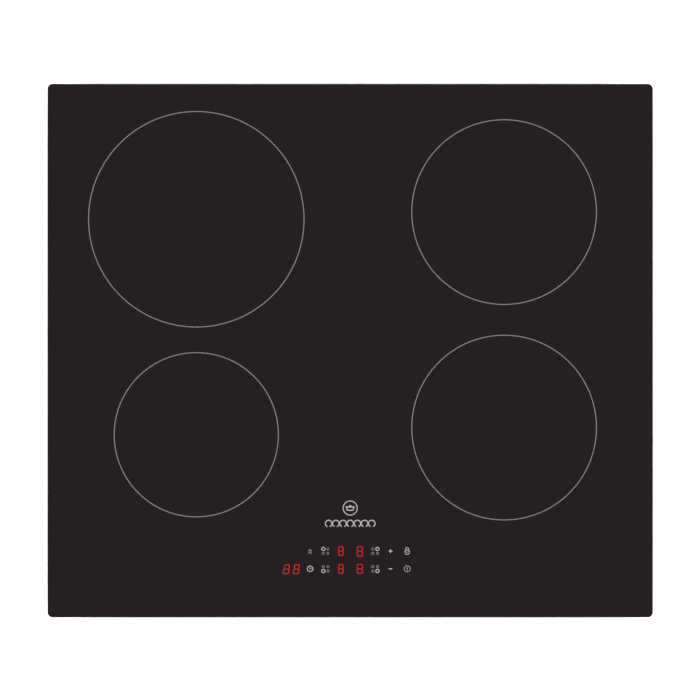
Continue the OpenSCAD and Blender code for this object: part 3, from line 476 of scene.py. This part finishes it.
# glass-fibre laminate under solder mask: deep green with lighter tracks beneath the lacquer
maskedLaminate, tree, shader, place = startMaterial("solderMaskedLaminate", {
    "Roughness": 0.3, "Coat Weight": 0.4, "Coat Roughness": 0.15})
tracks = addNode(tree, "ShaderNodeTexBrick", {
    "Scale": perMetre(12), "Mortar Size": 0.06, "Mortar Smooth": 0.3, "Color1": linearColour("#123b22"),
    "Color2": linearColour("#184a2b"), "Mortar": linearColour("#2f7a48")}, {"Vector": place})
tree.links.new(tracks.outputs["Color"], shader.inputs["Base Color"])
print("materials of the inner parts made")

finishes = {
    "silicone_bead": curedSilicone, "touch_pads": curedSilicone,
    "base_tray": zincSheet, "side_screws": platedScrew, "plate_screws": platedScrew,
    "clip_tabs": springStrip, "clip_left_front": springStrip, "clip_left_rear": springStrip,
    "clip_right_front": springStrip, "clip_right_rear": springStrip, "coil_springs": springStrip,
    "terminal_box": mouldedBlack, "terminal_flap": mouldedBlack, "cable_gland": mouldedBlack,
    "control_bracket": mouldedBlack, "blower_housing_left": mouldedBlack,
    "blower_housing_right": mouldedBlack, "fan_wheel_left": mouldedBlack, "fan_wheel_right": mouldedBlack,
    "terminal_block": mouldedWhite, "plate_pillars": mouldedWhite, "board_standoffs": mouldedWhite,
    "terminal_screws": turnedBrass, "coil_plate_left": rolledAluminium, "coil_plate_right": rolledAluminium,
    "heatsink_left": drawnAluminium, "heatsink_right": drawnAluminium,
    "power_board_left": maskedLaminate, "power_board_right": maskedLaminate,
    "filter_board": maskedLaminate, "touch_board": maskedLaminate,
    "power_transistors": mouldedEpoxy, "resonance_capacitors": greyCase, "filter_capacitors": yellowCase,
    "line_chokes": litzCopper, "filter_choke": litzCopper,
    "fan_motor_left": litzCopper, "fan_motor_right": litzCopper,
    "fan_shaft_left": groundSteel, "fan_shaft_right": groundSteel,
    "ferrite_bars": sinteredFerrite, "insulation_discs": pressedMica, "temperature_sensors": firedCeramic,
    "digit_displays": redLens, "coil_leads": redSleeve, "mains_wires": blueSleeve,
    "control_cables": greySleeve,
}
for zone in ("front_left", "front_right", "rear_left", "rear_right"):
    finishes["coil_carrier_" + zone] = mouldedWhite
    finishes["coil_winding_" + zone] = litzCopper
for name, finish in finishes.items():
    for materialSlot in cadNodes[name].material_slots:
        materialSlot.material = finish
print("finishes given to", len(finishes), "nodes")


# glass plate

glassLow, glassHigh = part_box("glass_plate")
glassWidth, glassDepth = glassHigh.x - glassLow.x, glassHigh.y - glassLow.y
glassPlate = {
    "cornerRadius": 5 * mm, "topChamfer": 0.9 * mm, "bottomChamfer": 0.4 * mm,
    # where the rounding of each chamfer passes, inwards and away from the face, as shares of it
    "bottomRound": (0.3, 0.35), "topRound": [(0.12, 0.5), (0.45, 0.14)],
    "printHeight": 0.04 * mm,      # the face lies this much below the CAD top, so that the printing fits in
    "printMargin": 0.005 * mm,     # the printing ends this much below the CAD top
    "printDepth": 0.01 * mm,       # and starts this much below the face
    "layerStep": 0.003 * mm,       # keeps the tops of crossing strokes apart
}
faceZ = glassHigh.z - glassPlate["printHeight"]
printTop = glassHigh.z - glassPlate["printMargin"]
printLow = faceZ - glassPlate["printDepth"]
layerStep = glassPlate["layerStep"]

top, low = glassPlate["topChamfer"], glassPlate["bottomChamfer"]
inward, upward = glassPlate["bottomRound"]
edgeProfile = [(low, glassLow.z), (low * inward, glassLow.z + low * upward), (0, glassLow.z + low),
               (0, faceZ - top)]
edgeProfile += [(top * inward, faceZ - top * downward) for inward, downward in glassPlate["topRound"]]
edgeProfile += [(top, faceZ)]
bm = bmesh.new()
loops = []
for inset, z in edgeProfile:
    outline = roundedOutline(glassWidth - 2 * inset, glassDepth - 2 * inset,
                             glassPlate["cornerRadius"] - inset, 12)
    loops.append([bm.verts.new((x, y, z)) for x, y in outline])
for lower, upper in zip(loops, loops[1:]):
    bridge(bm, lower, upper, slot=1)
bm.faces.new(loops[-1])
bm.faces.new(list(reversed(loops[0])))
newPiece("glassPlate", bm, [glassCeramic, groundGlass], replaced=["glass_plate"])
print("glass plate made")


# printed circles of the zones

zoneCircles = {
    "line": 0.8 * mm,
    "sideDistance": 145 * mm,
    # distance of the middle from the rear edge of the glass, then diameter
    "left": [(132 * mm, 210 * mm), (glassDepth - 178 * mm, 160 * mm)],
    "right": [(125 * mm, 180 * mm), (glassDepth - 185 * mm, 180 * mm)],
}
bm = bmesh.new()
for side, name in ((-1, "left"), (1, "right")):
    for fromRear, diameter in zoneCircles[name]:
        addRing(bm, side * (glassWidth / 2 - zoneCircles["sideDistance"]), glassDepth / 2 - fromRear,
                diameter / 2 + zoneCircles["line"] / 2, zoneCircles["line"], printLow, printTop, sides=360)
newPiece("zoneCirclePrint", bm, zoneEnamel, replaced=["zone_rings"])
print("zone circles made")


# printed symbols

symbols = {
    # rows, measured from the front edge of the glass
    "lowerRow": 47.4 * mm, "upperRow": 64.6 * mm, "coilRow": 91.5 * mm, "potRow": 106.6 * mm,
    # columns, measured from the middle of the glass
    "boostX": -39.1 * mm, "leftZonesX": -24.0 * mm, "rightZonesX": 24.3 * mm, "stepX": 39.3 * mm,
    "lockX": 55.5 * mm,
}
lowerY, upperY = symbols["lowerRow"] - glassDepth / 2, symbols["upperRow"] - glassDepth / 2
coilY, potY = symbols["coilRow"] - glassDepth / 2, symbols["potRow"] - glassDepth / 2
boostX, stepX, lockX = symbols["boostX"], symbols["stepX"], symbols["lockX"]


def newPrint(name, bm, enamel):
    newPiece(name, bm, enamel, replaced=["control_print"])


# coil of wire with a pot in a ring over it, the general sign for induction
coilMark = {
    "loops": 7, "pitch": 7.0 * mm, "loopRadius": 3.7 * mm, "line": 1.0 * mm, "openDeg": 46,
    "ringRadius": 7.3 * mm, "ringLine": 0.9 * mm,
    "potWidth": 7.4 * mm, "potHeight": 4.2 * mm, "potDrop": 0.6 * mm, "potCorner": 1.0 * mm,
    "handle": 1.3 * mm, "knobWidth": 1.9 * mm, "knobHeight": 1.0 * mm,
}
line, corner = coilMark["line"], coilMark["potCorner"]
bm = bmesh.new()
for i in range(coilMark["loops"]):
    x = (i - (coilMark["loops"] - 1) / 2) * coilMark["pitch"]
    loop = arcPoints(x, coilY, coilMark["loopRadius"] - line / 2,
                     coilMark["openDeg"] / 2 - 90, 270 - coilMark["openDeg"] / 2, 40)
    addStroke(bm, loop, line, printLow, printTop - (i % 2) * layerStep)
addRing(bm, 0, potY, coilMark["ringRadius"], coilMark["ringLine"], printLow, printTop)
halfPot = coilMark["potWidth"] / 2 - line / 2
potFoot = potY - coilMark["potDrop"] - coilMark["potHeight"] / 2 + line / 2
rim = potFoot + coilMark["potHeight"] - line / 2
potSide = ([(-halfPot, rim)] + arcPoints(-halfPot + corner, potFoot + corner, corner, 180, 270, 8)
           + arcPoints(halfPot - corner, potFoot + corner, corner, 270, 360, 8) + [(halfPot, rim)])
addStroke(bm, potSide, line, printLow, printTop)
# the lid lies across the rim and ends in the two handles, its knob stands on it
addBar(bm, 0, rim - line / 2, 2 * (halfPot + coilMark["handle"]), line, printLow, printTop - layerStep)
addBar(bm, 0, rim + coilMark["knobHeight"] / 2, coilMark["knobWidth"], coilMark["knobHeight"] + line / 2,
       printLow, printTop - 2 * layerStep)
newPrint("inductionMarkPrint", bm, markEnamel)

# double chevron for the boost level
chevron = {"lifts": (-1.5 * mm, 0.9 * mm), "halfWidth": 1.6 * mm, "foot": -1.0 * mm, "tip": 0.9 * mm,
           "line": 0.9 * mm}
half = chevron["halfWidth"]
bm = bmesh.new()
for lift in chevron["lifts"]:
    foot, tip = upperY + chevron["foot"] + lift, upperY + chevron["tip"] + lift
    addStroke(bm, [(boostX - half, foot), (boostX, tip), (boostX + half, foot)], chevron["line"],
              printLow, printTop)
newPrint("boostPrint", bm, zoneEnamel)

# clock face of the timer
clock = {"radius": 3.05 * mm, "line": 0.7 * mm,
         # middle of each hand from the middle of the face, then its width and height
         "hands": [(0, 0.6 * mm, 0.6 * mm, 1.8 * mm), (0.75 * mm, 0, 0.8 * mm, 0.6 * mm)]}
bm = bmesh.new()
addRing(bm, boostX, lowerY, clock["radius"], clock["line"], printLow, printTop)
for handX, handY, handWidth, handHeight in clock["hands"]:
    addBar(bm, boostX + handX, lowerY + handY, handWidth, handHeight, printLow, printTop)
newPrint("timerPrint", bm, signEnamel)

# four circles stand for the zones, the larger one for the zone that the key sets
zoneKeys = {"halfPitchX": 2.25 * mm, "halfPitchY": 2.15 * mm,
            "largeRadius": 2.0 * mm, "largeLine": 0.78 * mm, "largeSides": 40,
            "smallRadius": 1.35 * mm, "smallLine": 0.5 * mm, "smallSides": 32}
chosen, others = bmesh.new(), bmesh.new()
for keyX, outward in ((symbols["leftZonesX"], -1), (symbols["rightZonesX"], 1)):
    for keyY, up in ((upperY, 1), (lowerY, -1)):
        for sideX, sideY in ((-1, -1), (-1, 1), (1, -1), (1, 1)):
            bm, size = (chosen, "large") if (sideX, sideY) == (outward, up) else (others, "small")
            addRing(bm, keyX + sideX * zoneKeys["halfPitchX"], keyY + sideY * zoneKeys["halfPitchY"],
                    zoneKeys[size + "Radius"], zoneKeys[size + "Line"], printLow, printTop,
                    zoneKeys[size + "Sides"])
newPrint("chosenZonePrint", chosen, signEnamel)
newPrint("otherZonesPrint", others, faintEnamel)

# plus and minus
stepSigns = {"arm": 1.75 * mm, "plusHalfLine": 0.47 * mm, "minusLine": 0.92 * mm}
arm, half = stepSigns["arm"], stepSigns["plusHalfLine"]
cross = []
for turnCos, turnSin in ((1, 0), (0, 1), (-1, 0), (0, -1)):
    cross += [(stepX + x * turnCos - y * turnSin, upperY + x * turnSin + y * turnCos)
              for x, y in ((arm, -half), (arm, half), (half, half))]
bm = bmesh.new()
addPrism(bm, cross, printLow, printTop)
addBar(bm, stepX, lowerY, 2 * arm, stepSigns["minusLine"], printLow, printTop)
newPrint("plusMinusPrint", bm, signEnamel)

# round padlock with its keyhole
padlock = {"drop": 1.0 * mm, "radius": 2.5 * mm, "line": 0.68 * mm, "holeWidth": 0.5 * mm,
           "holeHeight": 1.2 * mm, "shackleLift": 2.9 * mm, "shackleRadius": 1.6 * mm,
           "shackleLine": 0.58 * mm, "shackleDeg": 25}
lockY = upperY - padlock["drop"]
shackle = arcPoints(lockX, lockY + padlock["shackleLift"], padlock["shackleRadius"],
                    -padlock["shackleDeg"], 180 + padlock["shackleDeg"], 30)
bm = bmesh.new()
addRing(bm, lockX, lockY, padlock["radius"], padlock["line"], printLow, printTop)
addStroke(bm, shackle, padlock["shackleLine"], printLow, printTop - layerStep)
addBar(bm, lockX, lockY, padlock["holeWidth"], padlock["holeHeight"], printLow, printTop)
newPrint("lockPrint", bm, signEnamel)

# circle with a bar for on and off
powerSign = {"radius": 3.15 * mm, "line": 0.42 * mm, "barWidth": 0.5 * mm, "barHeight": 3.0 * mm}
bm = bmesh.new()
addRing(bm, lockX, lowerY, powerSign["radius"], powerSign["line"], printLow, printTop)
addBar(bm, lockX, lowerY, powerSign["barWidth"], powerSign["barHeight"], printLow, printTop)
newPrint("powerPrint", bm, signEnamel)
print("control symbols made")


# lit digits: each is an eight of two rounded loops, with a faint glow under it
digits = {
    "line": 0.7 * mm, "corner": 1.1 * mm, "glowLine": 1.5 * mm, "glowRise": 0.01 * mm,
    "dotRadius": 0.7 * mm, "dotRight": 0.9 * mm, "dotBelow": 0.1 * mm, "dotRise": 0.004 * mm,
    # centre of the middle line, then width of the upper and the lower loop and their heights between
    # line centres, then the slant in degrees
    "zone": [(-9.1 * mm, upperY + 0.1 * mm, 4.3 * mm, 4.3 * mm, 4.2 * mm, 4.3 * mm, 0),
             (9.4 * mm, upperY, 5.1 * mm, 5.1 * mm, 4.3 * mm, 4.8 * mm, 0),
             (-9.1 * mm, lowerY - 0.1 * mm, 4.3 * mm, 4.3 * mm, 4.3 * mm, 4.3 * mm, 0),
             (9.4 * mm, lowerY - 0.1 * mm, 5.1 * mm, 5.1 * mm, 4.3 * mm, 4.3 * mm, 0)],
    "timer": [(-62.1 * mm, lowerY - 0.4 * mm, 4.5 * mm, 5.2 * mm, 4.3 * mm, 4.3 * mm, 10),
              (-52.4 * mm, lowerY - 0.4 * mm, 4.6 * mm, 5.2 * mm, 4.3 * mm, 4.3 * mm, 10)],
}


def addEight(bm, digit, line, high):
    # the loops share the middle line; the slant leans them to the right
    centreX, middleY, upperWidth, lowerWidth, upperHeight, lowerHeight, slant = digit
    lean = math.tan(math.radians(slant))
    for side, width, loopHeight, drop in ((1, upperWidth, upperHeight, 0),
                                          (-1, lowerWidth, lowerHeight, layerStep)):
        outline = roundedOutline(width, loopHeight, digits["corner"], 6)
        loop = [(x, y + side * loopHeight / 2) for x, y in outline]
        addStroke(bm, [(centreX + x + y * lean, middleY + y) for x, y in loop], line,
                  printLow, high - drop, closed=True)


for name in ("zone", "timer"):
    lit, glow = bmesh.new(), bmesh.new()
    for digit in digits[name]:
        addEight(lit, digit, digits["line"], printTop)
        addEight(glow, digit, digits["glowLine"], faceZ + digits["glowRise"])
        centreX, middleY, upperWidth, lowerWidth, upperHeight, lowerHeight, slant = digit
        if slant:
            # the point beside a slanted digit is unlit; it is drawn with the glow emission, so it shows
            # faintly by a painted glow
            dot = circlePoints(centreX + lowerWidth / 2 + digits["dotRight"],
                               middleY - lowerHeight - digits["dotBelow"], digits["dotRadius"], 16)
            addPrism(glow, dot, printLow, faceZ + digits["dotRise"])
    newPiece(name + "Digits", lit, litSegment)
    newPiece(name + "DigitGlow", glow, glowInGlass)
print("digits made")


# foam seal and frame

def sweptLoop(bm, profile, cornerRadius, firstInset):
    # a closed profile of (inset from the glass outline, height) carried round the hob
    tightest = 0.4 * mm
    loops = []
    for inset, z in profile:
        radius = max(cornerRadius - (inset - firstInset), tightest)
        outline = roundedOutline(glassWidth - 2 * inset, glassDepth - 2 * inset, radius, 8)
        loops.append([bm.verts.new((x, y, z)) for x, y in outline])
    for i in range(len(loops)):
        bridge(bm, loops[i], loops[(i + 1) % len(loops)])


# flat strip under the glass rim, its outer face bulging
foamStrip = {"outerInset": 3 * mm, "width": 8 * mm, "cornerRadius": 5 * mm, "innerCut": 0.2 * mm,
             "bulge": 0.35 * mm, "shoulder": 0.2, "shoulderBulge": 0.25}      # the last two are shares
sealLow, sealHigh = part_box("worktop_seal")
outer, bulge = foamStrip["outerInset"], foamStrip["bulge"]
inner = outer + foamStrip["width"]
thick = sealHigh.z - sealLow.z
shoulderInset, shoulderRise = outer + bulge * foamStrip["shoulderBulge"], thick * foamStrip["shoulder"]
sealProfile = [(inner, sealLow.z + foamStrip["innerCut"]), (inner, sealHigh.z), (outer + bulge, sealHigh.z),
               (shoulderInset, sealHigh.z - shoulderRise), (outer, sealHigh.z - thick / 2),
               (shoulderInset, sealLow.z + shoulderRise), (outer + bulge, sealLow.z),
               (inner - bulge, sealLow.z)]
bm = bmesh.new()
sweptLoop(bm, sealProfile, foamStrip["cornerRadius"], outer)
newPiece("foamSeal", bm, cutFoam, replaced=["worktop_seal"], smoothBelow=50)

# folded frame: flange under the glass, one bend, skirt round the tray
foldedFrame = {"sheet": 0.8 * mm, "flange": 9 * mm, "bend": 1.6 * mm, "cornerRadius": 5 * mm,
               "edgeInset": 0.2 * mm, "edgeRise": 0.15 * mm, "outerStepDeg": 15, "innerStepDeg": 30}
frameLow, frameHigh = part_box("glass_frame")
sheet, bend = foldedFrame["sheet"], foldedFrame["bend"]
edgeInset, edgeRise = foldedFrame["edgeInset"], foldedFrame["edgeRise"]
skirt = (glassWidth - (frameHigh.x - frameLow.x)) / 2
flangeInset = skirt + foldedFrame["flange"]


def bendPoint(radius, degrees):
    turn = math.radians(degrees)
    return skirt + bend - radius * math.sin(turn), frameHigh.z - bend + radius * math.cos(turn)


frameProfile = [(flangeInset, frameHigh.z)]
frameProfile += [bendPoint(bend, degrees) for degrees in range(0, 91, foldedFrame["outerStepDeg"])]
frameProfile += [(skirt, frameLow.z + edgeRise), (skirt + edgeInset, frameLow.z),
                 (skirt + sheet - edgeInset, frameLow.z), (skirt + sheet, frameLow.z + edgeRise)]
frameProfile += [bendPoint(bend - sheet, degrees) for degrees in range(90, -1, -foldedFrame["innerStepDeg"])]
frameProfile += [(flangeInset, frameHigh.z - sheet)]
bm = bmesh.new()
sweptLoop(bm, frameProfile, foldedFrame["cornerRadius"], skirt)
newPiece("foldedFrame", bm, powderCoat, replaced=["glass_frame"], smoothBelow=40)
print("seal and frame made")


# terminal flap and gland

# hinged flap of the terminal box: a panel that ends in its hinge barrel, two pins, a finger lip and ribs
flap = {"thick": 2.4 * mm, "barrelRadius": 1.6 * mm, "pinRadius": 1.4 * mm, "pinLength": 1.8 * mm,
        "lipWidth": 24 * mm, "lipDepth": 1.6 * mm, "lipHeight": 2 * mm, "edge": 0.4 * mm,
        "ribs": 5, "ribPitch": 2.6 * mm, "ribHeight": 0.45 * mm, "ribLine": 0.9 * mm, "ribMargin": 9 * mm,
        "ribLift": 0.6 * mm, "ribTaper": 0.4}
flapLow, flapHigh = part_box("terminal_flap")
outerY = flapHigh.y - flap["lipDepth"]
innerY = outerY - flap["thick"]
axisY, axisZ = outerY - flap["thick"] / 2, flapHigh.z - flap["barrelRadius"]
leftX, rightX = flapLow.x + flap["pinLength"], flapHigh.x - flap["pinLength"]
edge, foot = flap["edge"], flapLow.z
blend = math.degrees(math.acos(flap["thick"] / 2 / flap["barrelRadius"]))
panel = [(innerY, foot + edge), (innerY + edge, foot), (outerY - edge, foot), (outerY, foot + edge)]
panel += arcPoints(axisY, axisZ, flap["barrelRadius"], -blend, 180 + blend, 20)
bm = bmesh.new()
addExtrusion(bm, panel, leftX, rightX)
for fromX, toX in ((flapLow.x, leftX), (rightX, flapHigh.x)):
    addExtrusion(bm, circlePoints(axisY, axisZ, flap["pinRadius"], 32), fromX, toX)
middleX, lipTop = (leftX + rightX) / 2, foot + flap["lipHeight"]
lip = [(outerY, foot), (flapHigh.y - edge, foot), (flapHigh.y, foot + edge), (flapHigh.y, lipTop - 2 * edge),
       (flapHigh.y - 2 * edge, lipTop), (outerY, lipTop)]
addExtrusion(bm, lip, middleX - flap["lipWidth"] / 2, middleX + flap["lipWidth"] / 2)
half, proud = flap["ribLine"] / 2, outerY + flap["ribHeight"]
crest = half * flap["ribTaper"]
for i in range(flap["ribs"]):
    ribZ = (foot + axisZ) / 2 + (i - (flap["ribs"] - 1) / 2) * flap["ribPitch"] + flap["ribLift"]
    rib = [(outerY, ribZ - half), (proud, ribZ - crest), (proud, ribZ + crest), (outerY, ribZ + half)]
    addExtrusion(bm, rib, leftX + flap["ribMargin"], rightX - flap["ribMargin"])
newPiece("terminalFlap", bm, mouldedBlack, body="terminal_flap", replaced=["terminal_flap"])

# cable gland: an open sleeve with a scalloped collar outside
gland = {"bore": 5.5 * mm, "mouth": 0.7 * mm, "collarRadius": 9.3 * mm, "collarDepth": 2.6 * mm,
         "rimInset": 0.9 * mm, "rimShoulder": (0.2 * mm, 0.5 * mm), "neckRadius": 7.7 * mm, "wall": 2 * mm,
         "sleeveRadius": 8.5 * mm, "scallops": 18, "scallopDepth": 0.5 * mm, "segments": 144}
glandLow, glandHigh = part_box("cable_gland")
glandX, glandZ = (glandLow.x + glandHigh.x) / 2, (glandLow.z + glandHigh.z) / 2
inside, outside = glandLow.y, glandHigh.y
bore, mouth, collar, rimInset = gland["bore"], gland["mouth"], gland["collarRadius"], gland["rimInset"]
shoulderIn, shoulderBack = gland["rimShoulder"]
collarFoot = outside - gland["collarDepth"]
neckFoot = collarFoot - gland["wall"]
# radius, y, share of the scallop
turned = [(bore, inside, 0), (bore, outside - mouth, 0), (bore + mouth, outside, 0),
          (collar - rimInset, outside, 0), (collar - shoulderIn, outside - shoulderBack, 1),
          (collar, outside - rimInset, 1), (collar, collarFoot, 1), (gland["neckRadius"], collarFoot, 0),
          (gland["neckRadius"], neckFoot, 0), (gland["sleeveRadius"], neckFoot, 0),
          (gland["sleeveRadius"], inside, 0)]
bm = bmesh.new()
rings = []
for radius, y, share in turned:
    ring = []
    for i in range(gland["segments"]):
        turn = 2 * math.pi * i / gland["segments"]
        hollow = (0.5 - 0.5 * math.cos(gland["scallops"] * turn)) ** 2      # 0 on a ridge, 1 between two
        r = radius - share * gland["scallopDepth"] * hollow
        ring.append(bm.verts.new((glandX + r * math.cos(turn), y, glandZ + r * math.sin(turn))))
    rings.append(ring)
for i in range(len(rings)):
    bridge(bm, rings[i], rings[(i + 1) % len(rings)])
newPiece("cableGland", bm, mouldedBlack, replaced=["cable_gland"])
print("terminal flap and gland made")


# done

print("finishing")
